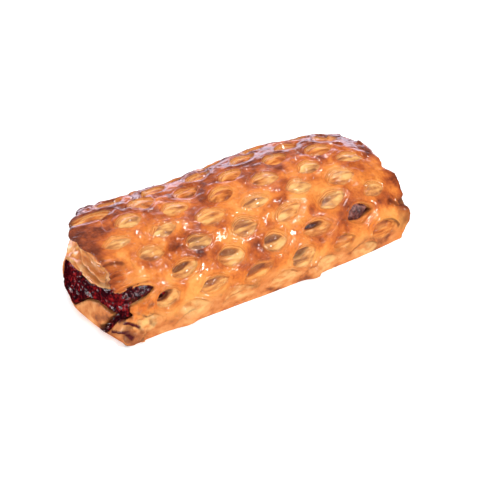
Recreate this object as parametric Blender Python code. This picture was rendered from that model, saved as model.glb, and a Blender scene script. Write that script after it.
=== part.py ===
"""Cherry roll: a baked puff-pastry roll whose top wrap is a lattice of slits that opened into
lens-shaped holes. The cherry filling runs through the roll, shows at both ends and fills some holes.
Metres, +Z up. X runs along the roll, Y from its front wall to its back wall. Z 0 is the table."""

import math

import bmesh
import bpy
from mathutils import Matrix, Vector, noise

MM = 0.001

# The roll's cross-section, a flat base under a domed top, and its length between the ends' middles
WIDTH = 74.8 * MM
HEIGHT = 32.2 * MM
LEFT_X = -77.0 * MM
RIGHT_X = 76.6 * MM
WALL_POWER = 0.92
DOME_POWER = 0.78
BASE_ROUNDING = 1.0 * MM
END_ROUNDING = 0.045
RAGGED = 0.9 * MM

# Where the torn rims of the top wrap stand out or draw back, as (arc length from the front foot,
# reach, width): the left end's rim hangs over the filling, the right end's rim has a notch
LEFT_FLAPS = (
    (59.0 * MM, 4.6 * MM, 5.0 * MM),
    (49.0 * MM, 3.2 * MM, 7.0 * MM),
    (38.0 * MM, 1.2 * MM, 5.0 * MM),
    (26.5 * MM, 3.6 * MM, 5.0 * MM),
)
RIGHT_FLAPS = (
    (41.0 * MM, -1.6 * MM, 2.6 * MM),
    (34.0 * MM, 0.8 * MM, 2.5 * MM),
    (19.6 * MM, -3.2 * MM, 2.6 * MM),
    (13.0 * MM, 1.0 * MM, 4.0 * MM),
)

# Grid cells of the body along the roll, across its top and up each wall
CELLS_LONG = 32
CELLS_ACROSS = 16
CELLS_UP = 4

# The lattice: slits in rows along the roll, each row shifted by half a pitch from its neighbour
SLIT_PITCH = 21.5 * MM
ROW_SPACING = 10.1 * MM
FIRST_ROW_ARC = 2.4 * MM
FIRST_SLIT_X = -58.0 * MM
ROW_SLANT = 0.048
ROWS = 11
SLIT_HALF_LENGTH = 7.0 * MM
SLIT_HALF_WIDTH = 4.2 * MM
SLIT_DEPTH = 2.0 * MM
SLIT_RISE = 5.0 * MM
SLIT_END_MARGIN = 6.5 * MM
SLIT_FOOT_MARGIN = 6.5 * MM

# Holes, as (row, place in the row), in which the filling shows
FILLED_HOLES = ((1, 0), (1, 3), (2, -1), (2, 0), (2, 3), (2, 4))
FILLED_DROP = 1.5 * MM

# The filled hole that has torn through to the left end: how far it lies from its lattice place
TORN_HOLE = (2, -1)
TORN_SHIFT_X = -2.0 * MM
TORN_SHIFT_ARC = -4.2 * MM
TORN_LONGER = 1.15

# The filling: a flat core inside the roll, kept this far from the dough
FILLING_GAP = 0.45 * MM
CORE_MIDDLE_Y = -4.0 * MM
CORE_HALF_WIDTH = 26.0 * MM
CORE_HALF_HEIGHT = 7.0 * MM
CORE_MIDDLE_Z = 12.5 * MM
CORE_CELLS_LONG = 22
CORE_CELLS_ACROSS = 10
CORE_CELLS_UP = 2
CORE_END_BULGE = 1.6 * MM

# Lumps of the baked dough: their size and how far they stand out
LUMP_SIZE = 17.0 * MM
LUMP_HEIGHT = 0.9 * MM
STRAND_PUFF = 0.7 * MM

SLIVER = 0.03 * MM

CRUST_COLOUR = (0.62, 0.25, 0.07, 1.0)
CHERRY_COLOUR = (0.13, 0.006, 0.012, 1.0)


def clear_scene():
    for obj in list(bpy.data.objects):
        bpy.data.objects.remove(obj)


def new_collection(name):
    collection = bpy.data.collections.new(name)
    bpy.context.scene.collection.children.link(collection)
    return collection


def smooth(low, high, value):
    """0 below low, 1 above high, and an S-shaped rise between."""
    t = min(1.0, max(0.0, (value - low) / (high - low)))
    return t * t * (3 - 2 * t)


def bell(value, width):
    return math.exp(-((value / width) ** 2))


def dome_point(angle):
    """The cross-section's top side: angle 0 is the front foot and pi the back foot."""
    side = math.cos(angle)
    y = -WIDTH / 2 * math.copysign(abs(side) ** WALL_POWER, side)
    return y, HEIGHT * math.sin(angle) ** DOME_POWER


def dome_table(steps=400):
    """(arc length from the front foot, y, z) along the top side."""
    rows = [(0.0, -WIDTH / 2, 0.0)]
    for k in range(1, steps + 1):
        y, z = dome_point(math.pi * k / steps)
        z = max(z, 0.0) if k < steps else 0.0
        rows.append((rows[-1][0] + math.hypot(y - rows[-1][1], z - rows[-1][2]), y, z))
    return rows


DOME = dome_table()
DOME_ARC = DOME[-1][0]


def on_dome(arc):
    """(y, z) of the cross-section at an arc length from the front foot."""
    arc = min(DOME_ARC, max(0.0, arc))
    low, high = 0, len(DOME) - 1
    while high - low > 1:
        middle = (low + high) // 2
        low, high = (middle, high) if DOME[middle][0] <= arc else (low, middle)
    (s0, y0, z0), (s1, y1, z1) = DOME[low], DOME[high]
    t = (arc - s0) / (s1 - s0)
    return y0 + (y1 - y0) * t, z0 + (z1 - z0) * t


def height_share(x):
    """The roll swells towards its left end and right of its middle, and sinks at its right end."""
    swollen = 0.05 * smooth(-10 * MM, -50 * MM, x) + 0.05 * bell(x - 20 * MM, 24 * MM)
    return 1.0 + swollen - 0.15 * smooth(54 * MM, 76 * MM, x)


def width_share(x):
    """The walls spread a little at the middle and the left end and draw in at the right end."""
    spread = 0.02 * smooth(-50 * MM, -68 * MM, x) + 0.022 * bell(x + 4 * MM, 34 * MM)
    return 1.0 + spread - 0.06 * smooth(34 * MM, 76 * MM, x)


def left_end(y, z):
    """X of the left end: it leans back as it rises, its corners are rounded and its edge torn."""
    front = max(0.0, -y) / (38 * MM)
    back = max(0.0, y + 3 * MM) / (36 * MM)
    torn = RAGGED * noise.noise(Vector((y, z, 0.0)) / (9 * MM)) * smooth(4 * MM, 16 * MM, z)
    return LEFT_X + 0.26 * z + 9.0 * MM * front**1.8 + 18 * MM * back**2 + torn


def right_end(y, z):
    """X of the right end: its back corner is the rounder one."""
    front = max(0.0, -26 * MM - y) / (11 * MM)
    back = max(0.0, y - 4 * MM) / (33 * MM)
    torn = RAGGED * noise.noise(Vector((y, z, 60 * MM)) / (9 * MM)) * smooth(4 * MM, 16 * MM, z)
    foot = 4.0 * MM * smooth(9 * MM, 0.0, z)
    return RIGHT_X - 1.5 * MM * front**2 - 11 * MM * back**2 - 0.03 * z - foot + torn


def rim_reach(arc, flaps):
    """How far the top wrap's torn rim stands out past the end's face."""
    return sum(reach * bell(arc - place, width) for place, reach, width in flaps)


def square_ring(across, up, cells_across, cells_up):
    """For a point of the unit square: its share of the way out from the middle, and its place on
    the border as ("base", 0 to 1) or ("dome", 0 to 1 from the front foot)."""
    out = max(abs(across), abs(up))
    if out < 1e-9:
        return 0.0, "base", 0.5
    a, b = across / out, up / out
    total = 2 * cells_up + cells_across
    if b <= -1 + 1e-6 and abs(a) < 1 - 1e-6:
        return out, "base", (a + 1) / 2
    if a <= -1 + 1e-6:
        return out, "dome", (b + 1) / 2 * cells_up / total
    if a >= 1 - 1e-6:
        return out, "dome", 1 - (b + 1) / 2 * cells_up / total
    return out, "dome", (cells_up + (a + 1) / 2 * cells_across) / total


def box_grid(name, cells_long, cells_across, cells_up):
    """A cube of 2 units a side, cut into a grid of cells along each axis."""
    grid = bmesh.new()
    bmesh.ops.create_cube(grid, size=2.0)
    for axis, cells in enumerate((cells_long, cells_across, cells_up)):
        along = [
            e for e in grid.edges if abs((e.verts[0].co - e.verts[1].co)[axis]) > 1.9
        ]
        bmesh.ops.subdivide_edges(grid, edges=along, cuts=cells - 1, use_grid_fill=True)
    bmesh.ops.triangulate(grid, faces=grid.faces[:], quad_method="FIXED")
    mesh = bpy.data.meshes.new(name)
    grid.to_mesh(mesh)
    grid.free()
    return bpy.data.objects.new(name, mesh)


def slit_places():
    """(row, place, x, arc length) of every slit of the lattice."""
    for row in range(ROWS):
        for place in range(-8, 8):
            x = FIRST_SLIT_X + SLIT_PITCH * (place + row / 2)
            arc = FIRST_ROW_ARC + ROW_SPACING * row - ROW_SLANT * x
            y, z = on_dome(arc)
            inside = left_end(y, z) + SLIT_END_MARGIN < x < right_end(y, z) - SLIT_END_MARGIN
            if not (inside and SLIT_FOOT_MARGIN < arc < DOME_ARC - SLIT_FOOT_MARGIN):
                continue
            if (row, place) == TORN_HOLE:
                yield row, place, x + TORN_SHIFT_X, arc + TORN_SHIFT_ARC
            else:
                yield row, place, x, arc


def strand_puff(x, arc):
    """The strands of the lattice stand out most where four holes surround them."""
    row = (arc + ROW_SLANT * x - FIRST_ROW_ARC) / ROW_SPACING
    along = (x - FIRST_SLIT_X) / SLIT_PITCH
    return 0.5 - 0.5 * math.cos(2 * math.pi * (along - row / 2)) * math.cos(math.pi * row)


def shape_body(body):
    """Bends the box grid into the roll."""
    for vertex in body.data.vertices:
        along, across, up = vertex.co
        out, side, share = square_ring(across, up, CELLS_ACROSS, CELLS_UP)
        if side == "dome":
            arc = share * DOME_ARC
            y, z = on_dome(arc)
        else:
            arc = None
            y, z = (share - 0.5) * (WIDTH - 2 * BASE_ROUNDING), 0.0
        if arc in (0.0, DOME_ARC):
            z = BASE_ROUNDING
        middle_z = HEIGHT * 0.42
        out *= 1 - END_ROUNDING * smooth(0.93, 1.0, abs(along)) * (z > 2 * BASE_ROUNDING)
        y, z = y * out, middle_z + (z - middle_z) * out
        share_long = (0.6 * along + 0.4 * math.sin(math.pi / 2 * along) + 1) / 2
        x = left_end(y, z) * (1 - share_long) + right_end(y, z) * share_long
        point = Vector((x, y * width_share(x), z * height_share(x)))
        if arc is not None and out > 0.9:
            point.x -= rim_reach(arc, LEFT_FLAPS) * smooth(-0.9, -1.0, along)
            point.x += rim_reach(arc, RIGHT_FLAPS) * smooth(0.9, 1.0, along)
            outward = Vector((0.0, y, (z - middle_z) * 1.4)).normalized()
            lump = noise.noise(point / LUMP_SIZE) * LUMP_HEIGHT
            puff = STRAND_PUFF * strand_puff(x, arc)
            point += outward * (lump + puff) * smooth(0.0, 6 * MM, z)
        vertex.co = point


def surface_frame(x, arc):
    """The point of the roll's skin there, the way along the section and the way out of the skin."""
    step = 0.5 * MM

    def skin(s):
        y, z = on_dome(s)
        return Vector((x, y * width_share(x), z * height_share(x)))

    point = skin(arc)
    across = (skin(arc + step) - skin(arc - step)).normalized()
    outward = Vector((1.0, 0.0, 0.0)).cross(across)
    return point, across, outward


def lens(name, half_length, half_width, depth, rise, rounds=10, rings=6):
    """A closed lens: pointed at both ends along X, deeper below its middle plane than above it."""
    shape = bmesh.new()
    bmesh.ops.create_uvsphere(shape, u_segments=rounds, v_segments=rings, radius=1.0)
    for vertex in shape.verts:
        x, y, z = vertex.co
        pinch = max(0.0, 1 - x * x) ** 0.3
        vertex.co = Vector((x * half_length, y * pinch * half_width, z * (rise if z > 0 else depth)))
    mesh = bpy.data.meshes.new(name)
    shape.to_mesh(mesh)
    shape.free()
    return bpy.data.objects.new(name, mesh)


def slit_lens(name, row, place, x, arc, grow, depth, drop, rise):
    """A lens laid in the skin over one slit, a little turned and resized as baking left it."""
    vary = Vector(noise.noise_vector(Vector((row * 1.7 + 0.3, place * 2.3 + 0.6, 4.2))))
    point, across, outward = surface_frame(x, arc)
    longer = TORN_LONGER if (row, place) == TORN_HOLE else 1.0
    obj = lens(
        name,
        SLIT_HALF_LENGTH * (1 + 0.12 * vary.x) * grow * longer,
        SLIT_HALF_WIDTH * (1 + 0.16 * vary.y) * grow,
        depth,
        rise,
    )
    turn = Matrix((Vector((1, 0, 0)), across, outward)).transposed()
    turn = turn @ Matrix.Rotation(0.16 * vary.z + 0.08, 3, "Z")
    obj.data.transform(Matrix.Translation(point - outward * drop) @ turn.to_4x4())
    return obj


def core_place(y):
    """(middle height, half height) of the filling where it leaves the left end: a thick bank at
    the back that thins to a band over the swollen base."""
    bank = smooth(-14 * MM, -3 * MM, y)
    corner = smooth(-26 * MM, -34 * MM, y)
    return 10.0 * MM - 0.26 * min(y, 8 * MM), (3.0 + 4.3 * bank + 0.6 * corner) * MM


def shape_core(core, grow, longer):
    """Bends a box grid into the filling's core, with its skin moved out by grow and its ends
    carried on by longer."""
    ends = [round(v.co.x) if abs(v.co.x) > 0.999 else 0 for v in core.data.vertices]
    for vertex in core.data.vertices:
        along, across, up = vertex.co
        out, side, share = square_ring(across, up, CORE_CELLS_ACROSS, CORE_CELLS_UP)
        share_long = (along + 1) / 2
        x = LEFT_X + (RIGHT_X - LEFT_X) * share_long
        angle = math.pi * share if side == "dome" else 2 * math.pi - math.pi * share
        y = CORE_MIDDLE_Y - CORE_HALF_WIDTH * math.cos(angle) * out
        lift = math.copysign(abs(math.sin(angle)) ** 0.7, math.sin(angle)) * out
        at_left = 1 - smooth(LEFT_X, LEFT_X + 40 * MM, x)
        end_z, end_half = core_place(y)
        middle = end_z * at_left + CORE_MIDDLE_Z * (1 - at_left)
        half = end_half * at_left + CORE_HALF_HEIGHT * (1 - at_left)
        wave = 0.7 * MM * noise.noise(Vector((x / (16 * MM), angle, 7.7))) * out
        z = middle + (half + wave) * lift
        bulge = CORE_END_BULGE * (1 - out**2)
        at_left_end = (left_end(y, z) - LEFT_X - bulge) * (1 - share_long)
        at_right_end = (right_end(y, z) - RIGHT_X + bulge * 0.5) * share_long
        vertex.co = Vector((x + at_left_end + at_right_end, y, z))
    swell(core, grow)
    for vertex, end in zip(core.data.vertices, ends):
        vertex.co.x += longer * end


def swell(obj, grow):
    """Moves an object's skin out by grow."""
    obj.data.update()
    places = [v.co + v.normal * grow for v in obj.data.vertices]
    for vertex, place in zip(obj.data.vertices, places):
        vertex.co = place


def filling_solid(name, home, grow, longer):
    """The filling: its core, joined with the lumps that rise into the filled holes."""
    pieces = new_collection(name + "_pieces")
    core = box_grid(name, CORE_CELLS_LONG, CORE_CELLS_ACROSS, CORE_CELLS_UP)
    shape_core(core, grow, longer)
    for row, place, x, arc in slit_places():
        if (row, place) in FILLED_HOLES:
            lump_name = f"{name}_lump_{row}_{place}"
            lump = slit_lens(lump_name, row, place, x, arc, 0.86, 11 * MM, FILLED_DROP, 0.5 * MM)
            swell(lump, grow)
            pieces.objects.link(lump)
    home.objects.link(core)
    join_or_cut(core, "UNION", pieces)
    for lump in list(pieces.objects):
        bpy.data.objects.remove(lump)
    bpy.data.collections.remove(pieces)
    return core


def make_material(name, colour, roughness):
    material = bpy.data.materials.new(name)
    material.use_nodes = True
    shader = material.node_tree.nodes["Principled BSDF"]
    shader.inputs["Base Color"].default_value = colour
    shader.inputs["Roughness"].default_value = roughness
    shader.inputs["Metallic"].default_value = 0.0
    return material


def join_or_cut(obj, operation, collection):
    """A Boolean with all of a collection, and a clean-up of the sliver edges it leaves."""
    boolean = obj.modifiers.new("boolean", "BOOLEAN")
    boolean.operation = operation
    boolean.operand_type = "COLLECTION"
    boolean.collection = collection
    bpy.context.view_layer.update()
    graph = bpy.context.evaluated_depsgraph_get()
    made = bpy.data.meshes.new_from_object(obj.evaluated_get(graph))
    obj.modifiers.clear()
    clean = bmesh.new()
    clean.from_mesh(made)
    bmesh.ops.dissolve_degenerate(clean, edges=clean.edges[:], dist=SLIVER)
    clean.to_mesh(made)
    clean.free()
    obj.data = made


def build():
    clear_scene()
    roll = new_collection("cherry_roll")
    cutters = new_collection("cutters")

    filling = filling_solid("cherry_filling", roll, 0.0, 0.0)
    filling_solid("filling_room", cutters, FILLING_GAP, 4 * MM)

    pastry = box_grid("pastry", CELLS_LONG, CELLS_ACROSS, CELLS_UP)
    shape_body(pastry)
    roll.objects.link(pastry)
    for row, place, x, arc in slit_places():
        name = f"slit_{row}_{place}"
        cutters.objects.link(slit_lens(name, row, place, x, arc, 1.0, SLIT_DEPTH, 0.0, SLIT_RISE))
    for cutter in cutters.objects:
        cutter.hide_render = True
        cutter.display_type = "WIRE"
    join_or_cut(pastry, "DIFFERENCE", cutters)

    pastry.data.materials.append(make_material("baked_crust", CRUST_COLOUR, 0.35))
    filling.data.materials.append(make_material("cherry_filling", CHERRY_COLOUR, 0.2))
    for obj in (pastry, filling):
        obj.data.shade_smooth()
        obj.data.set_sharp_from_angle(angle=math.radians(40))


build()
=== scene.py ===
"""The looks of the cherry roll: a glazed puff-pastry lattice over pale puffed dough, with dark cherry
filling at both ends and in the front slits. Shapes are worked out in millimetres by formula."""

import math
from itertools import product

import bpy
import numpy as np
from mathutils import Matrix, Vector


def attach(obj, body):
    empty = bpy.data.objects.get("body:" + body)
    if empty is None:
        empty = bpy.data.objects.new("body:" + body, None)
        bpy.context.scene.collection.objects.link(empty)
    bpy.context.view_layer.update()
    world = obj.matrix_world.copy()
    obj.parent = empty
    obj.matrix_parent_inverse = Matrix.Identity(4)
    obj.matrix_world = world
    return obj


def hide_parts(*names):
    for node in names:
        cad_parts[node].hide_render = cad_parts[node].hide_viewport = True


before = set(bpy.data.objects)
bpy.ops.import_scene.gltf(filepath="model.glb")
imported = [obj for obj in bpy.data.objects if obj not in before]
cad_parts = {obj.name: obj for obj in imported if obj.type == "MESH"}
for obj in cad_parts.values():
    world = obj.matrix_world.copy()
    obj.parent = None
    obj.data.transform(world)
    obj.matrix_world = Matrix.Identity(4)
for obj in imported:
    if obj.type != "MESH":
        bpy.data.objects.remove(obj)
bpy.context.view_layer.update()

MM = 0.001

# The roll's cross-section and length, before the relief is added
WIDTH = 74.2
HEIGHT = 31.3
LEFT_X = -77.0
RIGHT_X = 76.6
WALL_POWER = 0.92
DOME_POWER = 0.78
MIDDLE_Z = 12.5

# The lattice of slits
SLIT_PITCH = 21.54
ROW_SPACING = 10.12
FIRST_ROW_ARC = 2.4
FIRST_SLIT_X = -58.0
ROW_SLANT = 0.048
ROWS = 11
SLIT_HALF_LENGTH = 6.8
SLIT_HALF_WIDTH = 4.1
SLIT_DEPTH = 2.0

# Slits with an open middle, by row and place: how wide the gap in the floor gapes
OPEN_SLITS = {
    (1, 0): 1.0, (1, 1): 0.5, (1, 2): 0.65, (1, 3): 0.85, (1, 5): 0.3,
    (2, 0): 0.7, (2, 1): 0.7, (2, 2): 0.75, (2, 3): 1.0,
    (3, 0): 0.65, (3, 1): 0.4, (3, 3): 0.3, (4, 4): 0.2,
}
# Slits in which the filling lies open, and the one that has torn through to the left end
FILLED_SLITS = ((2, 4), (2, -1))
TORN_SLIT = (2, -1)
HALF_MOON_SLIT = (2, 4)

# Folds and torn edges of the top sheet: (x, arc) of both ends, bow and height
FOLDS = (
    (-72.5, 54.0, -69.5, 44.5, 1.0, 1.2),
    (-69.0, 39.0, -69.8, 29.5, -0.8, 1.4),
    (-61.5, 13.5, -54.5, 10.5, -1.2, 0.9),
    (-47.0, 3.0, -36.0, 6.5, 1.0, 0.6),
    (-24.0, 3.4, -12.0, 7.0, 1.2, 0.6),
    (14.0, 2.6, 24.0, 6.0, 1.0, 0.6),
    (40.0, 4.0, 50.0, 8.0, 1.0, 0.6),
    (62.5, 14.0, 68.5, 7.0, 1.8, 1.0),
    (66.5, 23.5, 71.5, 18.5, -0.6, 1.6),
)
# The front left corner is laid out as it is seen from the front left: the directions across and up
# that view, and the one towards it
ACROSS = np.array([0.8616, -0.5075, 0.0])
UP = np.array([0.3125, 0.5305, 0.788])
TOWARDS = np.array([-0.400, -0.679, 0.616])
# Flaps there, as in FOLDS but across and up; ropes of dough; smears of filling with their half width
CORNER_FLAPS = (
    (-50.2, -8.7, -40.4, -7.6, 1.0, 1.3),
    (-50.2, -8.4, -46.9, -17.5, -0.8, 1.6),
    (-46.4, -35.6, -38.6, -36.1, 0.8, 1.4),
    (-40.5, -40.6, -32.3, -34.1, -0.8, 1.6),
)
CORNER_ROPES = (
    (-64.6, -4.6, -46.4, -18.6, -0.6, 1.5),
    (-63.6, -2.4, -47.0, -16.4, -0.8, 1.2),
    (-62.0, 0.4, -50.5, -9.6, -0.8, 0.8),
    (-46.8, -13.0, -41.0, -10.2, 0.6, 1.1),
    (-46.6, -15.6, -39.5, -12.0, 0.8, 1.0),
    (-43.9, -19.3, -30.1, -13.2, 1.2, 1.3),
)
SMEARS = (
    (-45.3, -24.0, -41.2, -31.5, 0.4, 1.5),
    (-51.0, -33.0, -47.8, -35.4, 0.0, 1.2),
    (-41.4, -31.0, -34.4, -33.8, 0.6, 0.7),
    (-46.4, -34.8, -38.6, -35.3, 0.6, 0.6),
    (-40.5, -35.6, -37.6, -37.4, 0.0, 0.9),
    (-41.4, -40.3, -38.3, -40.6, 0.0, 0.5),
)

# Blisters of glaze: (x, arc), radius and height, which is below zero for a dimple
BLISTERS = (
    (-62.6, 16.8, 1.9, 1.1), (-58.2, 16.2, 1.6, 0.9), (-61.6, 11.8, 1.7, 0.9), (-56.0, 12.6, 1.5, 0.7),
    (-36.4, 48.0, 2.0, -1.2), (-37.9, 34.8, 2.4, -1.3), (-33.0, 35.5, 1.6, 0.7),
    (-44.3, 25.4, 1.5, 0.7), (-39.5, 25.6, 1.7, -0.8), (-41.5, 27.4, 1.3, 0.6),
    (-25.4, 23.4, 1.5, 0.6), (-18.4, 18.9, 1.6, 0.6), (-15.0, 25.4, 1.6, 0.7),
    (2.1, 35.0, 1.5, 0.7), (18.0, 24.0, 1.7, 0.8), (22.5, 26.0, 1.4, -0.7), (41.0, 20.0, 1.7, 0.8),
    (44.5, 23.0, 1.4, -0.7), (56.0, 30.5, 1.6, 0.7),
)

# Where the torn rims of the top sheet stand out or draw back: arc, reach and width
LEFT_FLAPS = ((68.0, 3.6, 4.5), (59.0, 5.0, 5.0), (49.0, 3.2, 7.0), (38.0, 1.2, 5.0), (26.5, 4.2, 5.0))
RIGHT_FLAPS = ((41.0, -1.6, 2.2), (34.0, 0.8, 2.5), (19.6, -4.6, 2.2), (13.0, 1.0, 4.0))

# Bumps along the roll, as (x, height, width): on the front foot, one crumb there, the back shoulder
FOOT_BULGES = ((-70.0, 1.8, 7.0), (-40.0, 2.0, 12.0), (8.0, 0.8, 16.0), (22.0, 2.8, 4.0))
FOOT_CRUMB = ((-61.6, 1.8, 0.9),)
SHOULDER_SWELLS = ((32.0, 1.0, 20.0), (-13.0, -0.7, 13.0))

# How deep the opening for the filling cuts into the left end, and how high the right end's one is
MOUTH_DEPTH = 5.0
RIGHT_OPENING_Z = 12.0

# The filling's hidden core
CORE_HALF_WIDTH = 26.0
CORE_HALF_HEIGHT = 7.0

# How far the filling keeps under the skin, how far it rises where it shows, its lowest height, and
# the half length from which its ends are drawn in by the inset
FILLING_INSET = 3.2
FILLING_RISE = 2.3
FILLING_FLOOR = 0.3
FILLING_HALF_LENGTH = 75.0

# Grids of skin points: how fine the dough's and the filling's are, and the counts at 1
DOUGH_FINENESS = 1.0
FILLING_FINENESS = 0.62
RING_DOME = 330
RING_BASE = 60
STATIONS = 400
EDGE_RADIUS = 1.8
EDGE_RINGS = 9
CAP_RINGS = 52

# How far past the tube, along an end's skin, its torn face starts and is whole
FACE_START = 1.8
FACE_FULL = 3.6

# The values that the slits give every point of the skin, most of them for its colour, some of them painted
# shade
SLIT_SHARES = ("hole", "slope", "open", "jam", "patch", "near", "rim", "scorch", "window_shade", "bake")

# The camera: degrees round from the front and up from the floor, metres away, millimetres for the rest
CAMERA_TURN = 30.5
CAMERA_RISE = 38.0
CAMERA_DISTANCE = 0.7
CAMERA_TARGET = (-1.7, -14.9, 14.0)
CAMERA_LENS = 121.5
CAMERA_SENSOR = 36.0

# The floor's half side, the point that the lamps face, and the small lamps that the glaze mirrors: their
# side in metres, their watts and their places
FLOOR_REACH = 3.0
LAMP_TARGET = (0.0, 0.0, 0.02)
SPARKLE_SIZE = 0.04
SPARKLE_POWER = 0.6
SPARKLES = (
    (0.10, -0.55, 0.85), (-0.45, -0.50, 0.75), (0.30, -0.10, 0.95), (-0.85, -0.45, 0.35),
    (-0.75, -0.70, 0.60), (0.45, 0.45, 0.80), (0.55, 0.80, 0.60),
    (0.42, -0.82, 0.42), (0.20, -0.92, 0.34), (0.62, -0.78, 0.30),
)

RANDOM = np.random.default_rng(11)


def smooth(low, high, value):
    """0 at low, 1 at high, and an S-shaped rise between. It falls where low is above high."""
    t = np.clip((value - low) / (high - low), 0.0, 1.0)
    return t * t * (3 - 2 * t)


def bell(value, width):
    """1 where the value is 0, falling smoothly to nearly 0 two widths away on either side."""
    return np.exp(-((value / width) ** 2))


def bumps(where, places):
    """The sum of bumps, each given as its place, its height and its width."""
    return sum(high * bell(where - place, width) for place, high, width in places)


def cell_noise(points, seed):
    """Smooth noise from -1 to 1, one cell a unit."""
    cell = np.floor(points).astype(np.int64)
    part = points - cell
    part = part**3 * (part * (part * 6 - 15) + 10)
    total = np.zeros(points.shape[:-1])
    for corner in product((0, 1), repeat=3):
        at = cell + np.array(corner)
        mixed = at[..., 0] * 374761393 + at[..., 1] * 668265263 + at[..., 2] * 1440662683 + seed * 974711
        mixed = ((mixed ^ (mixed >> 13)) * 1274126177) & 0xFFFFFFFF
        value = ((mixed ^ (mixed >> 16)) & 0xFFFFFF) / 0x7FFFFF - 1
        weight = np.prod(np.where(np.array(corner) == 1, part, 1 - part), axis=-1)
        total += value * weight
    return total


def fractal(points, size, octaves=3, seed=0):
    """Layers of smooth noise, each twice as fine and half as strong as the one before."""
    total, reach = np.zeros(points.shape[:-1]), 1.0
    for octave in range(octaves):
        total += reach * cell_noise(points / size * 2**octave, seed + octave * 7)
        reach *= 0.5
    return total / (2 - 2 ** (1 - octaves))


# The top side of the cross-section, from the front foot to the back foot
ANGLE = np.linspace(0, math.pi, 1601)
DOME_Y = -WIDTH / 2 * np.sign(np.cos(ANGLE)) * np.abs(np.cos(ANGLE)) ** WALL_POWER
DOME_Z = HEIGHT * np.clip(np.sin(ANGLE), 0, 1) ** DOME_POWER
DOME_ARC = np.concatenate([[0], np.cumsum(np.hypot(np.diff(DOME_Y), np.diff(DOME_Z)))])
ARC_LENGTH = DOME_ARC[-1]


def on_dome(arc):
    """(y, z) of the top side at an arc length from the front foot."""
    return np.interp(arc, DOME_ARC, DOME_Y), np.interp(arc, DOME_ARC, DOME_Z)


def off_walls(arc):
    """0 at the foot of either wall and 1 from a little above it."""
    return smooth(2.0, 9.0, arc) * smooth(ARC_LENGTH - 2, ARC_LENGTH - 9, arc)


def height_share(x):
    """How high the roll is at x, as a share of its height."""
    return 1.0 + 0.05 * smooth(-10, -50, x) + 0.05 * bell(x - 20, 24) - 0.15 * smooth(54, 76, x)


def width_share(x):
    """How wide the roll is at x, as a share of its width."""
    return 1.0 + 0.02 * smooth(-50, -68, x) + 0.022 * bell(x + 4, 34) - 0.06 * smooth(34, 76, x)


def left_end(y, z):
    """x of the left end, which leans in towards the top and is rounded off at the back and front."""
    front = np.maximum(0.0, -y) / 38
    back = np.maximum(0.0, y + 3) / 36
    return LEFT_X + 0.26 * z + 9.0 * front**1.8 + 18 * back**2


def right_end(y, z):
    """x of the right end, which is rounded off at the back and at its front corner."""
    front = np.maximum(0.0, -26 - y) / 11
    back = np.maximum(0.0, y - 4) / 33
    return RIGHT_X - 1.5 * front**2 - 11 * back**2 - 0.03 * z - 4.0 * smooth(9, 0, z)


def mouth(y):
    """(lower edge, upper edge) of the opening in the left end through which the filling wells."""
    bank = smooth(-14, -3, y)
    middle = 10.0 - 0.26 * np.minimum(y, 14) - 1.6 * bank
    half = 3.0 + 4.3 * bank * smooth(18, 8, y) - 0.8 * smooth(-22, -30, y)
    return middle - half, middle + half


def mouth_share(points, arc, along, depth, wider):
    """1 in the opening of the left end, which runs round the front corner, and 0 off it."""
    x, y, z = points[..., 0], points[..., 1], points[..., 2]
    low, high = mouth(y)
    share = smooth(low - wider - 0.8, low - wider + 0.8, z) * smooth(22, 17, y)
    share *= smooth(high + wider + 0.8, high + wider - 0.8, z)
    drip = bell(y + 24.0 + 0.55 * z, 2.0 + wider) * smooth(0.6 - wider, 2.4 - wider, z) * (z < low + 2)
    share = np.clip(share + smooth(0.3, 0.7, drip), 0, 1) * smooth(0.5, 2.5, depth)
    corner = smooth(1.2, 0.0, along - left_end(y, z) + 0.3 * (18 - arc) + 0.8 * np.sin(1.3 * arc))
    corner *= smooth(9.5 - wider, 11.5 - wider, arc) * smooth(24 + wider, 22 + wider, arc)
    return np.maximum(share, corner) * (x < 0)


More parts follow.
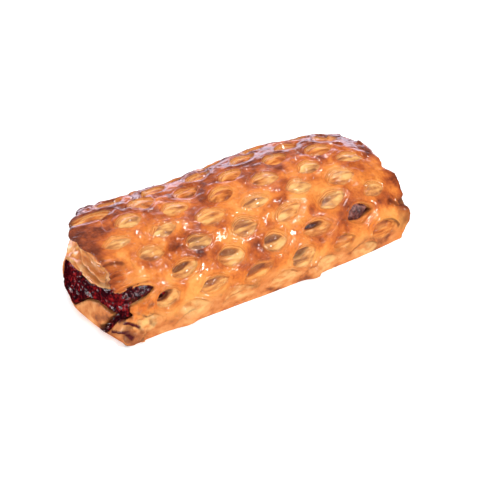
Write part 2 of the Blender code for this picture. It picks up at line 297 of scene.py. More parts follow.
def slits():
    """Every slit of the lattice, with the small differences that baking made."""
    for row in range(ROWS):
        for place in range(-8, 8):
            x = FIRST_SLIT_X + SLIT_PITCH * (place + row / 2)
            arc = FIRST_ROW_ARC + ROW_SPACING * row - ROW_SLANT * x
            vary = RANDOM.uniform(-1, 1, 6)
            y, z = on_dome(arc)
            if not left_end(y, z) + 5 < x < right_end(y, z) - 6 or arc > ARC_LENGTH - 5:
                continue
            slit = {
                "row": row,
                "place": place,
                "x": x + 0.5 * vary[0],
                "arc": arc + 0.4 * vary[1],
                "length": SLIT_HALF_LENGTH * (1 + 0.14 * vary[2]),
                "width": SLIT_HALF_WIDTH * (1 + 0.18 * vary[3]),
                "turn": 0.08 + 0.20 * vary[4],
                "open": OPEN_SLITS.get((row, place), 0.15 * max(0.0, vary[5])),
                "filled": (row, place) in FILLED_SLITS,
                "torn": (row, place) == TORN_SLIT,
                "depth": SLIT_DEPTH * (1 + 0.25 * RANDOM.uniform(-1, 1)) + 0.7 * float(smooth(45, 70, arc)),
                "lip": RANDOM.uniform(0.6, 1.3),
                "scorch": RANDOM.uniform(0.0, 0.4),
                "bake": RANDOM.uniform(-0.2, 0.5),
                "side": RANDOM.choice((-1, 1)),
                "shift": RANDOM.uniform(-0.34, -0.16) if row > 2 else RANDOM.uniform(-0.2, 0.0),
                "window": RANDOM.uniform(0.62, 0.78) if row > 2 else RANDOM.uniform(0.78, 0.95),
                "power": RANDOM.uniform(1.2, 1.45),
                "flat": 1.0,
                "sunk": min(1.0, float(row <= 2) + 0.8 * float(smooth(56, 74, arc))),
                "front": float(row <= 2),
            }
            if (row, place) == HALF_MOON_SLIT:
                slit.update(shift=-0.1, window=0.95, flat=0.4, length=7.0, width=4.4)
            if row == 0:
                slit.update(arc=arc + 3.0, depth=0.9, width=3.6, sunk=0.0)
            if slit["torn"]:
                slit.update(x=x - 2.0, arc=arc - 4.8, length=8.0, width=3.2)
                slit.update(turn=0.08, shift=0.0, window=0.9)
            yield slit


def end_rings():
    """The rings of one end, from its middle to where the tube starts. Each is (share of the way
    out, distance in from the skin, how far past the tube's end)."""
    rings = [(share, EDGE_RADIUS, EDGE_RADIUS) for share in np.linspace(0.03, 1.0, CAP_RINGS)[:-1]]
    for angle in np.linspace(math.pi / 2, 0, EDGE_RINGS)[:-1]:
        rings.append((1.0, EDGE_RADIUS * (1 - math.cos(angle)), EDGE_RADIUS * math.sin(angle)))
    return rings


def skin_grid(fineness):
    """The bare skin of the roll: points (rings, ring points, 3), the place along the skin, the
    arc length from the front foot, and how far past the tube a point is on an end's skin."""
    arc = np.linspace(0, ARC_LENGTH, round(RING_DOME * fineness))
    y, z = on_dome(arc)
    base_count = round(RING_BASE * fineness)
    base_y = np.linspace(WIDTH / 2, -WIDTH / 2, base_count + 2)[1:-1]
    ring_y = np.concatenate([y, base_y])
    ring_z = np.concatenate([z, np.zeros(base_count)])
    ring_arc = np.concatenate([arc, np.full(base_count, -20.0)])
    from_middle = np.hypot(ring_y, ring_z - MIDDLE_Z)
    points, along, depth = [], [], []

    def add(share, inset, past, side, tube):
        scale = share * (1 - inset / from_middle)
        py = ring_y * scale
        pz = MIDDLE_Z + (ring_z - MIDDLE_Z) * scale
        left = left_end(py, pz) + EDGE_RADIUS
        right = right_end(py, pz) - EDGE_RADIUS
        inward = (1 - share) * (from_middle - inset)
        turned = EDGE_RADIUS * math.asin(min(1.0, past / EDGE_RADIUS))
        if side == "tube":
            px = left * (1 - tube) + right * tube
            skin = px
        elif side == "left":
            px = left - past
            skin = left - turned - inward
        else:
            px = right + past
            skin = right + turned + inward
        points.append(np.stack([px, py, pz], axis=-1))
        along.append(skin + 0 * px)
        depth.append(inward + turned + 0 * px)

    for share, inset, past in end_rings():
        add(share, inset, past, "left", 0.0)
    for tube in np.linspace(0, 1, round(STATIONS * fineness)):
        add(1.0, 0.0, 0.0, "tube", tube)
    for share, inset, past in reversed(end_rings()):
        add(share, inset, past, "right", 0.0)
    points = np.array(points)
    points[..., 1] *= width_share(points[..., 0])
    points[..., 2] *= height_share(points[..., 0])
    return points, np.array(along), np.broadcast_to(ring_arc, points.shape[:2]), np.array(depth)


def grid_normals(points):
    """The outward direction of the skin at every point of a grid of rings."""
    along = np.gradient(points, axis=0)
    around = np.roll(points, -1, axis=1) - np.roll(points, 1, axis=1)
    normal = np.cross(along, around)
    return normal / np.maximum(1e-9, np.linalg.norm(normal, axis=-1, keepdims=True))


def grid_object(name, points, attributes, material):
    """A closed mesh from a grid of rings: each ring joined to the next, a fan on either end."""
    rings, around = points.shape[:2]
    flat = points.reshape(-1, 3)
    poles = [points[0].mean(axis=0), points[-1].mean(axis=0)]
    index = np.arange(rings * around).reshape(rings, around)
    after = np.roll(index, -1, axis=1)
    quads = np.stack([index[:-1], index[1:], after[1:], after[:-1]], axis=-1).reshape(-1, 4)
    first, last = len(flat), len(flat) + 1
    faces = quads.tolist()
    faces += [(first, a, b) for a, b in zip(index[0].tolist(), after[0].tolist())]
    faces += [(last, b, a) for a, b in zip(index[-1].tolist(), after[-1].tolist())]
    mesh = bpy.data.meshes.new(name)
    mesh.from_pydata((np.vstack([flat, poles]) * MM).tolist(), [], faces)
    for key, values in attributes.items():
        layer = mesh.attributes.new(key, "FLOAT", "POINT")
        ends = [values[0].mean(), values[-1].mean()]
        layer.data.foreach_set("value", np.concatenate([values.ravel(), ends]).astype(np.float32))
    mesh.shade_smooth()
    mesh.materials.append(material)
    obj = bpy.data.objects.new(name, mesh)
    bpy.context.scene.collection.objects.link(obj)
    return obj


def keep_larger(share, near, value):
    """Raises a share to a value at the points near a slit, where it is lower there."""
    share[near] = np.maximum(share[near], value)


def carve_slits(x, arc, points, places):
    """Relief and colour shares that the slits give the skin."""
    height = np.zeros(x.shape)
    out = {key: np.zeros(x.shape) for key in SLIT_SHARES}
    out["ring"] = np.full(x.shape, 3.0)
    warp_x = 0.6 * fractal(points, 5.5, 2, 51)
    warp_arc = 0.5 * fractal(points, 5.5, 2, 52)
    waver_all = 0.05 * fractal(points, 2.6, 2, 5)
    grain = 0.22 * fractal(points * np.array([0.35, 1.0, 1.0]), 1.5, 2, 17)
    for slit in places:
        du, dv = x + warp_x - slit["x"], arc + warp_arc - slit["arc"]
        if slit["torn"]:
            du = np.maximum(du, 0.0)
        near = (np.abs(du) < slit["length"] * 1.7) & (np.abs(dv) < slit["width"] * 2.2)
        u = (du * math.cos(slit["turn"]) + dv * math.sin(slit["turn"]))[near] / slit["length"]
        v = (dv * math.cos(slit["turn"]) - du * math.sin(slit["turn"]))[near] / slit["width"]
        waver = waver_all[near]
        ring = np.abs(u) ** 1.9 + np.abs(v) ** slit["power"] + waver
        off_middle = (v - slit["shift"]) / slit["window"]
        off_middle = np.where(off_middle < 0, off_middle / slit["flat"], off_middle)
        window = np.abs(u / 0.94) ** 1.9 + np.abs(off_middle) ** 1.35 + waver
        crack = np.abs((u + 0.12) / 0.7) ** 2 + np.abs((v - 0.36) / 0.40) ** 1.6 + waver
        back = smooth(-0.4, 0.7, v)
        low, sunk, front = slit["depth"], slit["sunk"], slit["front"]

        # The strand's cut edge slopes down in thin layers, widest at the back, to a window of pale dough
        basin = 0.3 * smooth(1.9, 1.1, ring) + 0.7 * smooth(1.08, 0.9 - 0.2 * sunk, ring)
        layers = 0.28 * np.sin(24 * ring + 3 * waver) * bell(ring - 0.76, 0.34) * back
        lip = bell(ring - 1.18, 0.13) * (0.25 + 0.75 * back) * slit["lip"] * (0.5 + 0.5 * front)
        ridges = 0.3 * front * np.sin(15 * ring + 6 * waver) * bell(ring - 1.35, 0.4) * (1 - back)
        puff = 0.55 * (1 - sunk) * np.sqrt(np.clip(1.02 - ring, 0, 1))
        height[near] += min(1.0, low) * (lip + layers + ridges)
        height[near] -= low * ((0.5 + 0.12 * sunk) * basin - puff)

        # The window: open to the filling, or a floor of pale dough that may gape in its middle
        inside = smooth(1.04, 0.84, window)
        if slit["filled"]:
            height[near] -= (low * 0.4 + 2.4) * inside
            keep_larger(out["jam"], near, smooth(1.02, 0.8, window))
            shown = 1.0
        else:
            bulge = np.sqrt(np.clip(1 - window, 0, 1))
            gap = smooth(1.2, 0.5, crack + 3 * waver)
            gaping = smooth(0.7, 1.0, slit["open"])
            deep = 2.4 * gaping * smooth(1.0, 0.4, crack + 0.6 * smooth(-0.5, 0.5, u))
            floor = low * (-0.4 * sunk + (0.12 + 0.48 * sunk) * bulge) + grain[near]
            height[near] += floor * inside - slit["open"] * 1.3 * gap - deep
            # The gap's grey-brown: partly painted shade of the gap, partly a stain of filling
            keep_larger(out["open"], near, min(1.0, 1.4 * slit["open"]) * gap)
            shown = 0.8 * smooth(0.6, 1.0, slit["open"])
        keep_larger(out["near"], near, smooth(1.5, 1.0, ring) * shown)

        # Colour shares: scorched tips, then the window and its slopes, with painted shade across the window
        # and in the crease round it, or a mere pale patch at the foot
        tip = bell(np.abs(u) - 1.45, 0.4) * bell(v - 0.2, 0.7) * (u * slit["side"] > 0)
        keep_larger(out["scorch"], near, tip * slit["scorch"])
        if slit["row"] == 0:
            keep_larger(out["patch"], near, smooth(1.25, 0.5, ring))
        else:
            keep_larger(out["hole"], near, smooth(1.04, 0.92, window))
            keep_larger(out["slope"], near, smooth(1.12, 0.95, ring) * (0.2 + 0.8 * back))
            # Painted shade across the window: darker towards its back in the front rows, towards its front
            # further back
            lean = 0.45 * front - 0.3 * (1 - front)
            window_shade = (0.45 + lean * v + 0.1 * u) * smooth(1.2, 0.9, window)
            keep_larger(out["window_shade"], near, np.clip(window_shade, 0, 1))
            # Painted shade: a brown line in the crease round the window, strongest at its front
            keep_larger(out["rim"], near, bell(ring - 1.0, 0.08) * (1 - 0.6 * back))
            out["bake"][near] += (slit["bake"] + 0.2 * front) * smooth(1.15, 0.95, ring)
        out["ring"][near] = np.minimum(out["ring"][near], ring)
    return height, out


def beside(s, t, line, wobble):
    """How far a point is to the left of a bowed line, and how much of the line's height is left there,
    which tapers off at both of its ends."""
    s0, t0, s1, t1, bow = line[:5]
    length = math.hypot(s1 - s0, t1 - t0)
    run_s, run_t = (s1 - s0) / length, (t1 - t0) / length
    run = ((s - s0) * run_s + (t - t0) * run_t) / length
    side = (t - t0) * run_s - (s - s0) * run_t + wobble - 4 * bow * run * (1 - run)
    return side, smooth(-0.05, 0.2, run) * smooth(1.05, 0.8, run)


def flap_relief(s, t, flaps):
    """Relief of flaps whose edge drops off to the right of a line, and the dark share along it."""
    height, dark = np.zeros(s.shape), np.zeros(s.shape)
    wobble = 0.4 * fractal(np.stack([s, t, 0 * s], axis=-1), 2.4, 2, 71)
    for line in flaps:
        side, taper = beside(s, t, line, wobble)
        high = line[-1]
        edge = smooth(-0.3, 0.1, side) * smooth(3.0, 0.2, side)
        height += high * taper * (edge - 0.4 * bell(side + 0.8, 0.6))
        dark = np.maximum(dark, min(1.0, high) * taper * bell(side + 0.1, 0.4))
    return height, dark


def corner_relief(points, normal):
    """Relief, dark share and smears of filling at the front left corner. Beside the ropes the dark share
    is painted shade in their grooves.
    """
    s, t = points @ ACROSS, points @ UP
    seen = smooth(0.0, 0.15, normal @ TOWARDS) * smooth(-40, -46, points[..., 0])
    height, dark = flap_relief(s, t, CORNER_FLAPS)
    wobble = 0.3 * fractal(np.stack([s, t, 0 * s], axis=-1), 2.0, 2, 72)
    for line in CORNER_ROPES:
        side, taper = beside(s, t, line, wobble)
        height += line[-1] * taper * (bell(side, 0.6) - 0.5 * bell(side + 1.1, 0.5))
        # Painted shade in the groove beside each rope
        dark = np.maximum(dark, 0.5 * taper * bell(side + 1.0, 0.4))
    smear = np.zeros(s.shape)
    for line in SMEARS:
        side, taper = beside(s, t, line, wobble)
        smear = np.maximum(smear, taper * smooth(1.15, 0.8, np.abs(side) / line[-1]))
    rugged = smooth(-26, -31, s) * smooth(-43, -40, s) * smooth(-17, -22, t)
    rugged += bell(s + 45.5, 5.0) * bell(t + 14.5, 6.0)
    height += 0.5 * smear + 1.0 * rugged * fractal(points, 3.0, 3, 73)
    dark = np.maximum(dark, 0.7 * rugged * smooth(0.1, 0.5, fractal(points, 4.0, 2, 75)))
    return height * seen, dark * seen, smear * seen


def sheet_relief(points, along, arc, colours):
    """Relief of the top sheet beside its slits, and its broad swells by themselves."""
    on_top = smooth(-1.0, 1.0, arc)
    height = np.zeros(arc.shape)
    for x0, arc0, radius, high in BLISTERS:
        height += high * smooth(1.0, 0.2, np.hypot((along - x0) / 1.4, arc - arc0) / radius)
    foot = smooth(9.0, 1.0, arc) * on_top
    height += foot * (bumps(along, FOOT_BULGES) + 0.9 * fractal(points, 8.0, 3, 23) - 0.3)
    height += bumps(along, FOOT_CRUMB) * smooth(3.5, 0.5, arc) * on_top
    height += bumps(along, SHOULDER_SWELLS) * smooth(44, 58, arc)

    # Broad swells, and small dimples and wrinkles in the glaze of the strands
    strand = 1 - colours["hole"]
    rough = 0.35 + 0.65 * np.maximum(smooth(34, 60, arc), smooth(-30, -60, along))
    swells = 0.55 * fractal(points, 17.0, 2, 3) + 0.5 * fractal(points, 5.0, 2, 4) * rough
    wrinkles = 0.22 * fractal(points * np.array([0.5, 1.0, 1.0]), 2.0, 2, 6) * rough * strand
    dimples = -0.9 * smooth(0.30, 0.62, fractal(points, 5.6, 1, 61)) * strand * (1 - colours["near"])
    return height + swells + wrinkles + dimples * off_walls(arc), swells


def left_face_relief(z, low, over, flow, in_mouth):
    """The left end's face: the base's lip, a rope of dough over the filling, a cave under the rim."""
    rope = 0.5 * bell(over - 1.8 + 0.6 * flow, 1.0)
    lip = 1.3 * np.clip(1 - ((z - low * 0.5) / (low * 0.5 + 1.0)) ** 2, 0, 1) * (z < low)
    cave = -2.4 * smooth(2.5, 7.0, over) + 0.35 * np.sin(2.6 * over + 4.0 * flow) * smooth(0.5, 3.0, over)
    return (rope + lip + cave) * (1 - in_mouth) + 0.4 * flow


def right_face_relief(y, z, flow):
    """The right end's face: torn layers round a small opening."""
    layers = np.sin(np.hypot(y, (z - MIDDLE_Z) * 2.2) * 1.1 + 2 * flow)
    opening = smooth(9, 3, np.hypot(y * 0.35, z - RIGHT_OPENING_Z))
    return 0.3 * layers - 1.5 * opening + 0.9 * flow - 1.8


def ragged(arc, scale, seed):
    """The small teeth of a torn rim."""
    return 0.9 * fractal(np.stack([arc * scale, 0 * arc, 0 * arc], axis=-1), 1.0, 4, seed)


def browning(points, along, arc, swells, scorch, left_rim, right_rim):
    """How brown the crust is: patches, burnt spots, the back, both rims and the tips of the slits."""
    burnt = smooth(0.1, 0.7, fractal(points, 9.0, 2, 15))
    brown = 0.25 + 0.50 * fractal(points, 12.0, 3, 12) + 0.30 * smooth(38, 78, arc)
    brown += 0.4 * burnt * off_walls(arc) * smooth(12, 22, arc)
    brown += 0.5 * left_rim * smooth(14, 30, arc) * (0.5 + burnt) + 0.35 * right_rim
    brown += scorch * smooth(8, 20, arc) - 0.35 * smooth(16, 6, arc) + 0.25 * smooth(0.2, -0.5, swells)
    brown += 0.22 * smooth(-35, -62, along) * smooth(30, 45, arc)
    brown += 0.30 * smooth(50, 70, along) * smooth(40, 60, arc) + 0.14 * smooth(48, 72, arc)
    return np.clip(brown, 0, 0.84)


def dark_rims_and_notch_shade(points, along, arc, from_left):
    """The nearly black fringe of the left rim and the dark lobe at the foot of the right one, darkest
    in its notch, where the extra dark is painted shade.
    """
    fringe = bell(from_left - 0.6, 1.3) * smooth(24, 34, arc)
    fringe *= np.clip(0.35 + 0.5 * smooth(46, 56, arc) + 0.9 * fractal(points, 4.0, 2, 26), 0, 1)
    lobe = smooth(67, 72, along) * smooth(2, 8, arc) * smooth(25, 20, arc)
    # Darkest at arc 20.5, in the notch of the right rim: painted shade
    lobe *= 0.7 + 0.4 * fractal(points, 3.0, 2, 27) + 0.5 * bell(arc - 20.5, 1.4)
    return fringe, lobe


def make_dough(material, places):
    """The whole dough: the lattice, both torn ends and the flat base, as one closed skin."""
    points, along, arc, depth = skin_grid(DOUGH_FINENESS)
    normal = grid_normals(points)
    y, z = points[..., 1], points[..., 2]
    on_top = smooth(-1.0, 1.0, arc)
    at_left = points[..., 0] < 0
    left_face = smooth(FACE_START, FACE_FULL, depth) * at_left
    right_face = smooth(FACE_START, FACE_FULL, depth) * ~at_left
    off_faces = (1 - left_face) * (1 - right_face)
    low, high = mouth(y)
    over = z - high
    in_mouth = mouth_share(points, arc, along, depth, 0.0)

    # Relief of the top sheet, of both ends' faces and of the front left corner
    height, colours = carve_slits(along, arc, points, places)
    folds, fold_dark = flap_relief(along, arc, FOLDS)
    sheet, swells = sheet_relief(points, along, arc, colours)
    relief = (height + folds + sheet) * on_top * off_faces
    flow = fractal(points * np.array([1.0, 0.35, 1.2]), 3.2, 3, 9)
    relief += left_face_relief(z, low, over, flow, in_mouth) * left_face
    corner, corner_dark, smear = corner_relief(points, normal)
    relief += corner
    relief = np.minimum(relief, relief * (1 - in_mouth) - MOUTH_DEPTH * in_mouth)
    relief += right_face_relief(y, z, flow) * right_face
    points = points + normal * relief[..., None]

    # The torn rims of the top sheet stand out at both ends
    from_left = along - left_end(y, z)
    left_rim = smooth(7.0, 0.5, from_left) * (1 - left_face) * off_walls(arc)
    right_rim = smooth(7.0, 0.5, right_end(y, z) - along) * (1 - right_face) * off_walls(arc)
    points[..., 0] -= (ragged(arc, 0.16, 21) + bumps(arc, LEFT_FLAPS)) * left_rim * on_top
    points[..., 0] += (ragged(arc, 0.2, 33) + bumps(arc, RIGHT_FLAPS)) * right_rim * on_top
    points[..., 2] = np.maximum(points[..., 2], 0.0)

    # Colour shares for the material
    fringe, lobe = dark_rims_and_notch_shade(points, along, arc, from_left)
    dark = np.maximum(fold_dark * (1 - left_face), corner_dark)
    base_lip = smooth(low + 1, low - 1, z) * left_face
    wall = smooth(13, 5, arc + 3 * fractal(points, 6.0, 2, 14)) * on_top * smooth(72, 64, along)
    baked = 0.2 + 0.9 * smooth(46, 70, arc) + 0.35 * fractal(points, 5.0, 2, 19) + colours["bake"]
    scorch = colours["scorch"]
    for key in ("hole", "slope", "open", "jam", "patch", "rim"):
        colours[key] = colours[key] * off_faces
    colours.update(
        brown=browning(points, along, arc, swells, scorch, left_rim, right_rim),
        baked=np.clip(baked, 0, 1),
        wall=np.clip(wall + (1 - on_top) + base_lip, 0, 1),
        inner=np.clip(left_face + right_face, 0, 1) * (1 - base_lip),
        # Painted shade in the grooves of the left face, where the ripples of its cave dip
        fold=np.clip(0.5 - 0.8 * np.sin(2.6 * over + 4.0 * flow), 0, 1) * left_face,
        mouth=in_mouth,
        dark=np.clip(np.maximum(dark, fringe * (1 - left_face) + lobe), 0, 1),
        smear=smear,
    )
    for key in ("near", "scorch", "bake"):
        del colours[key]
    return grid_object("crust", points, colours, material)


def make_filling(material, places):
    """The filling: a flat core that rises to the slits which show it and wells out at the left."""
    points, along, arc, depth = skin_grid(FILLING_FINENESS)
    _, colours = carve_slits(along, arc, points, places)
    near = np.maximum(colours["near"], smooth(-52, -62, along))
    near = np.maximum(near, smooth(62, 68, along))
    from_middle = np.hypot(points[..., 1], points[..., 2] - MIDDLE_Z)
    angle = np.arctan2(points[..., 2] - MIDDLE_Z, points[..., 1])
    core = 1 / np.hypot(np.cos(angle) / CORE_HALF_WIDTH, np.sin(angle) / CORE_HALF_HEIGHT)
    inset = 1 - FILLING_INSET / np.maximum(from_middle, 3 * FILLING_INSET)
    hidden = np.minimum(inset, core / np.maximum(from_middle, 1.0))
    scale = np.where(depth > 0, inset, hidden * (1 - near) + inset * near)
    at_left = points[..., 0] < 0
    off_faces = depth < 9
    points[..., 1] *= scale
    points[..., 2] = MIDDLE_Z + (points[..., 2] - MIDDLE_Z) * scale
    points[..., 0] *= 1 - FILLING_INSET / FILLING_HALF_LENGTH
    normal = grid_normals(points)
    y, z = points[..., 1], points[..., 2]
    welling = (FILLING_INSET + 1.0) * mouth_share(points, arc, along, depth, 0.6)
    rise = np.maximum(FILLING_RISE * smooth(0.0, 0.5, colours["jam"]) * off_faces, welling)
    rise += 1.2 * bell(np.hypot(y, z - RIGHT_OPENING_Z), 9.0) * smooth(3.0, 6.0, depth) * ~at_left
    dry = smooth(0.0, 0.2, colours["near"]) * off_faces * smooth(-50, -40, along)
    lumps = 0.8 * fractal(points, 4.2, 2, 40) * (1 - 0.6 * dry) + 0.45 * fractal(points, 1.5, 1, 41)
    points = points + normal * (rise + lumps * smooth(0.0, 0.5, near))[..., None]
    points[..., 2] = np.maximum(points[..., 2], FILLING_FLOOR)
    return grid_object("filling", points, {"dry": dry}, material)


class Nodes:
    """Short ways to add shader nodes to one material."""

    def __init__(self, name):
        self.material = bpy.data.materials.new(name)
        self.material.use_nodes = True
        self.tree = self.material.node_tree
        self.shader = self.tree.nodes["Principled BSDF"]

    def put(self, socket, value):
        """Links another node's output to a socket, or sets the socket to a plain value."""
        if isinstance(value, bpy.types.NodeSocket):
            self.tree.links.new(value, socket)
        else:
            socket.default_value = value

    def share(self, name):
        """One of the values that the mesh gives every point."""
        node = self.tree.nodes.new("ShaderNodeAttribute")
        node.attribute_name = name
        return node.outputs["Fac"]

    def noise(self, scale, detail=3.0, stretch=(1.0, 1.0, 1.0)):
        """Noise in space, drawn out along an axis whose stretch is below 1."""
        place = self.tree.nodes.new("ShaderNodeNewGeometry").outputs["Position"]
        scaled = self.tree.nodes.new("ShaderNodeVectorMath")
        scaled.operation = "MULTIPLY"
        self.put(scaled.inputs[0], place)
        scaled.inputs[1].default_value = stretch
        node = self.tree.nodes.new("ShaderNodeTexNoise")
        self.put(node.inputs["Vector"], scaled.outputs[0])
        node.inputs["Scale"].default_value = scale
        node.inputs["Detail"].default_value = detail
        return node.outputs["Fac"]

    def math(self, operation, *values):
        node = self.tree.nodes.new("ShaderNodeMath")
        node.operation = operation
        for socket, value in zip(node.inputs, values):
            self.put(socket, value)
        return node.outputs[0]

    def spread(self, value, low, high, to_low=0.0, to_high=1.0):
        """Maps the range from low to high onto another one."""
        node = self.tree.nodes.new("ShaderNodeMapRange")
        for key, number in zip(("From Min", "From Max", "To Min", "To Max"), (low, high, to_low, to_high)):
            node.inputs[key].default_value = number
        self.put(node.inputs["Value"], value)
        return node.outputs["Result"]

    def mix(self, share, one, other):
        node = self.tree.nodes.new("ShaderNodeMix")
        node.data_type = "RGBA"
        self.put(node.inputs["Factor"], share)
        self.put(node.inputs["A"], one)
        self.put(node.inputs["B"], other)
        return node.outputs["Result"]

    def ramp(self, share, stops):
        """A colour that runs through stops, each given as its place and its colour."""
        node = self.tree.nodes.new("ShaderNodeValToRGB")
        self.put(node.inputs["Fac"], share)
        elements = node.color_ramp.elements
        while len(elements) < len(stops):
            elements.new(0.5)
        for element, (place, colour) in zip(elements, stops):
            element.position = place
            element.color = colour
        return node.outputs["Color"]

    def bump(self, height, distance, strength=1.0, socket="Normal"):
        node = self.tree.nodes.new("ShaderNodeBump")
        node.inputs["Distance"].default_value = distance
        node.inputs["Strength"].default_value = strength
        self.put(node.inputs["Height"], height)
        self.put(self.shader.inputs[socket], node.outputs["Normal"])


def srgb(red, green, blue):
    """A colour given as 0 to 255 in display values, as the shader's linear numbers."""
    shares = (red / 255, green / 255, blue / 255)
    linear = [c / 12.92 if c <= 0.04045 else ((c + 0.055) / 1.055) ** 2.4 for c in shares]
    return (*linear, 1.0)


def dough_material():
    """Baked crust: each mix lays one more kind of dough over the ones before it, and some lay painted
    shade.
    """
    made = Nodes("baked_crust")
    fine = made.noise(800.0, 5.0)
    coarse = made.noise(260.0, 4.0)

    # The glazed top sheet, and the duller walls and base
    speckled = made.math("ADD", made.share("brown"), made.spread(fine, 0.3, 0.7, -0.09, 0.09))
    brown = made.math("ADD", speckled, made.spread(coarse, 0.3, 0.7, -0.15, 0.15))
    crust = made.ramp(brown, (
        (0.0, srgb(240, 158, 78)),
        (0.30, srgb(222, 124, 50)),
        (0.58, srgb(184, 88, 36)),
        (0.82, srgb(140, 62, 28)),
        (1.0, srgb(92, 38, 22)),
    ))
    blotches = made.noise(160.0, 4.0, (0.5, 1.0, 1.0))
    smudges = made.math("ADD", blotches, made.spread(coarse, 0.3, 0.7, -0.1, 0.1))
    wall = made.ramp(smudges, (
        (0.31, srgb(140, 76, 46)),
        (0.46, srgb(206, 120, 62)),
        (0.66, srgb(232, 160, 96)),
    ))
    colour = made.mix(made.share("wall"), crust, wall)

    # The slits: thin layers down their slopes, pale or baked fibres in the window with painted shade
    # across it, and a brown line of painted shade in the crease round its edge
    wavy = made.math("ADD", made.share("ring"), made.spread(made.noise(500.0), 0.3, 0.7, -0.04, 0.04))
    lines = made.math("SINE", made.math("MULTIPLY", wavy, 26.0))
    layered = made.mix(made.spread(lines, -1.0, 1.0, 0.0, 1.0), srgb(206, 108, 42), srgb(248, 178, 100))
    colour = made.mix(made.math("MULTIPLY", made.share("slope"), 0.8), colour, layered)
    fibres = made.spread(made.noise(420.0, 4.0, (0.3, 1.0, 1.0)), 0.32, 0.68, 0.2, 1.15)
    shaded = made.math("SUBTRACT", fibres, made.math("MULTIPLY", made.share("window_shade"), 0.5))
    pale = made.ramp(shaded, (
        (0.0, srgb(140, 90, 58)),
        (0.35, srgb(204, 142, 84)),
        (0.65, srgb(236, 184, 112)),
        (1.0, srgb(250, 210, 148)),
    ))
    baked = made.ramp(shaded, (
        (0.0, srgb(140, 62, 20)),
        (0.4, srgb(200, 106, 40)),
        (0.9, srgb(240, 164, 84)),
    ))
    colour = made.mix(made.share("hole"), colour, made.mix(made.share("baked"), pale, baked))
    colour = made.mix(made.math("MULTIPLY", made.share("rim"), 0.35), colour, srgb(172, 90, 40))

    # Pale patches at the foot of the walls, and the torn faces of both ends, with painted shade in the
    # grooves of the left one
    streaks = made.spread(made.noise(420.0, 5.0, (0.5, 1.0, 1.0)), 0.38, 0.58)
    veined = made.mix(streaks, srgb(212, 130, 66), srgb(242, 194, 124))
    colour = made.mix(made.math("MULTIPLY", made.share("patch"), 0.65), colour, veined)
    inner = made.ramp(made.noise(300.0, 3.0, (1.0, 0.4, 1.3)), (
        (0.3, srgb(214, 122, 58)),
        (0.5, srgb(238, 162, 90)),
        (0.68, srgb(250, 202, 142)),
    ))
    inner = made.mix(made.math("MULTIPLY", made.share("fold"), 0.5), inner, srgb(196, 104, 48))
    colour = made.mix(made.share("inner"), colour, inner)

    # Burnt edges, with painted shade in the corner's rope grooves and in the right rim's notch; gaps in the
    # slits' floors, darkened partly by painted shade and partly by a stain of filling; and stains of
    # filling
    colour = made.mix(made.math("MULTIPLY", made.share("dark"), 0.85), colour, srgb(88, 38, 26))
    colour = made.mix(made.math("MULTIPLY", made.share("open"), 0.7), colour, srgb(118, 72, 56))
    colour = made.mix(made.share("jam"), colour, made.mix(fine, srgb(52, 22, 26), srgb(112, 62, 60)))
    stained = made.math("MAXIMUM", made.share("mouth"), made.share("smear"))
    colour = made.mix(stained, colour, made.mix(coarse, srgb(46, 6, 12), srgb(104, 18, 24)))
    made.put(made.shader.inputs["Base Color"], colour)

    # The glaze lies on the top sheet, and thinly on the walls and in baked slits
    matte = made.math("MAXIMUM", made.share("hole"), made.share("wall"))
    made.put(made.shader.inputs["Roughness"], made.spread(matte, 0.0, 1.0, 0.45, 0.6))
    made.shader.inputs["Specular IOR Level"].default_value = 0.15
    baked_hole = made.math("MULTIPLY", made.share("hole"), made.share("baked"))
    dry = made.math("MAXIMUM", baked_hole, made.share("wall"))
    made.put(made.shader.inputs["Coat Weight"], made.spread(dry, 0.0, 1.0, 0.75, 0.25))
    made.shader.inputs["Coat Roughness"].default_value = 0.06
    made.bump(made.math("ADD", fine, made.math("MULTIPLY", coarse, 2.0)), 0.45 * MM, 0.8)
    made.bump(made.noise(240.0, 2.0), 0.3 * MM, 0.35, "Coat Normal")
    return made.material


def cherry_material():
    """Dark wet filling with redder grains, duller and paler where it has dried in the slits."""
    made = Nodes("cherry_filling")
    clots = made.spread(made.noise(170.0, 2.0), 0.3, 0.7, -0.12, 0.12)
    grains = made.math("ADD", made.noise(800.0, 4.0), clots)
    wet = made.ramp(grains, (
        (0.36, srgb(32, 4, 11)),
        (0.54, srgb(70, 8, 15)),
        (0.76, srgb(156, 26, 28)),
    ))
    dull = made.ramp(grains, (
        (0.38, srgb(52, 16, 18)),
        (0.52, srgb(94, 42, 38)),
        (0.70, srgb(150, 92, 80)),
    ))
    made.put(made.shader.inputs["Base Color"], made.mix(made.share("dry"), wet, dull))
    made.put(made.shader.inputs["Roughness"], made.spread(made.share("dry"), 0.0, 1.0, 0.1, 0.35))
    made.shader.inputs["Specular IOR Level"].default_value = 0.55
    made.bump(made.noise(1000.0, 3.0), 0.4 * MM, 0.85)
    return made.material


def flat_material(name, colour, roughness):
    material = bpy.data.materials.new(name)
    material.use_nodes = True
    shader = material.node_tree.nodes["Principled BSDF"]
    shader.inputs["Base Color"].default_value = colour
    shader.inputs["Roughness"].default_value = roughness
    return material


def area_light(name, place, size, power, mirrored=False, lit=True, target=LAMP_TARGET, tint=(1, 1, 1)):
    """A lamp, in metres and watts. The glaze reflects a mirrored one, and only a lit one gives light."""
    light = bpy.data.lights.new(name, "AREA")
    light.shape = "RECTANGLE"
    light.size, light.size_y = size
    light.energy = power
    light.color = tint
    obj = bpy.data.objects.new(name, light)
    bpy.context.scene.collection.objects.link(obj)
    obj.location = place
    obj.rotation_euler = (Vector(target) - Vector(place)).to_track_quat("-Z", "Y").to_euler()
    obj.visible_glossy = mirrored
    obj.visible_diffuse = lit


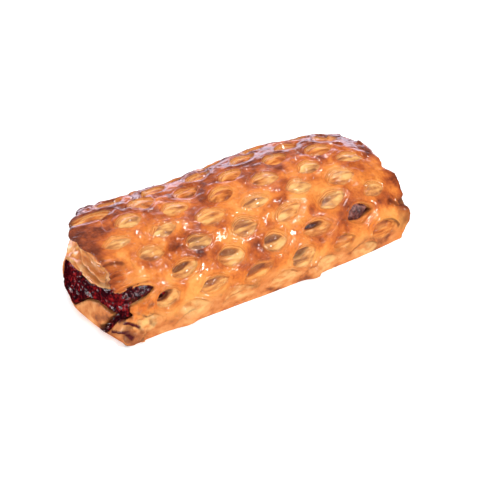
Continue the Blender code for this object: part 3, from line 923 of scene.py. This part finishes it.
def make_floor():
    mesh = bpy.data.meshes.new("floor")
    low, high = -FLOOR_REACH, FLOOR_REACH
    corners = [(low, low, 0), (high, low, 0), (high, high, 0), (low, high, 0)]
    mesh.from_pydata(corners, [], [(0, 1, 2, 3)])
    pale = flat_material("pale_floor", (0.92, 0.92, 0.92, 1.0), 0.9)
    surface = pale.node_tree.nodes["Principled BSDF"]
    surface.inputs["Emission Color"].default_value = (1.0, 1.0, 1.0, 1.0)
    surface.inputs["Emission Strength"].default_value = 0.35
    mesh.materials.append(pale)
    floor = bpy.data.objects.new("floor", mesh)
    bpy.context.scene.collection.objects.link(floor)
    floor.visible_glossy = False


def make_studio():
    """A pale floor, an even sky, and lamps from the back, the front right and the left."""
    make_floor()
    world = bpy.data.worlds.new("studio")
    bpy.context.scene.world = world
    world.use_nodes = True
    sky = world.node_tree.nodes["Background"]
    sky.inputs["Color"].default_value = (0.95, 0.96, 1.0, 1.0)
    sky.inputs["Strength"].default_value = 0.46
    world.cycles_visibility.glossy = False
    area_light("back_softbox", (-0.1, 0.75, 0.62), (0.9, 0.45), 3.2)
    area_light("back_fill", (0.1, 0.8, 0.7), (0.6, 0.6), 4.5)
    area_light("key_light", (0.4, -0.75, 0.7), (0.3, 0.3), 5.2)
    area_light("left_fill", (-0.9, -0.2, 0.35), (0.4, 0.4), 3.2)
    area_light("glaze_light", (0.40, -0.68, 0.66), (0.09, 0.09), 2.6, mirrored=True)
    area_light(
        "pale_backdrop", (0.5, 1.1, 0.06), (1.6, 0.5), 7.5,
        mirrored=True, lit=False, target=(0.0, 0.0, 0.06), tint=(0.84, 0.80, 1.0),
    )
    area_light("left_softbox", (-0.9, 0.45, 0.5), (0.30, 0.30), 7.0, mirrored=True, lit=False)
    area_light("left_glint", (-0.75, -0.25, 0.75), (0.10, 0.10), 1.2, mirrored=True, lit=False)
    area_light("top_strip", (0.35, -0.15, 0.9), (0.3, 0.03), 0.8, mirrored=True, lit=False)
    for number, place in enumerate(SPARKLES):
        size = (SPARKLE_SIZE, SPARKLE_SIZE)
        area_light(f"sparkle_{number}", place, size, SPARKLE_POWER, mirrored=True, lit=False)


def make_camera():
    turn, rise = math.radians(CAMERA_TURN), math.radians(CAMERA_RISE)
    target = Vector(CAMERA_TARGET) * MM
    back = Vector((-math.sin(turn) * math.cos(rise), -math.cos(turn) * math.cos(rise), math.sin(rise)))
    camera = bpy.data.objects.new("camera", bpy.data.cameras.new("camera"))
    bpy.context.scene.collection.objects.link(camera)
    camera.data.lens = CAMERA_LENS
    camera.data.sensor_width = CAMERA_SENSOR
    camera.data.clip_start = 0.01
    camera.location = target + back * CAMERA_DISTANCE
    camera.rotation_euler = (-back).to_track_quat("-Z", "Y").to_euler()
    bpy.context.scene.camera = camera


def build():
    crust, cherry = dough_material(), cherry_material()
    places = list(slits())
    dough = make_dough(crust, places)
    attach(dough, "root")
    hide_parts("pastry")
    filling = make_filling(cherry, places)
    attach(filling, "root")
    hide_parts("cherry_filling")
    make_studio()
    make_camera()
    bpy.context.scene.view_settings.view_transform = "Standard"


build()
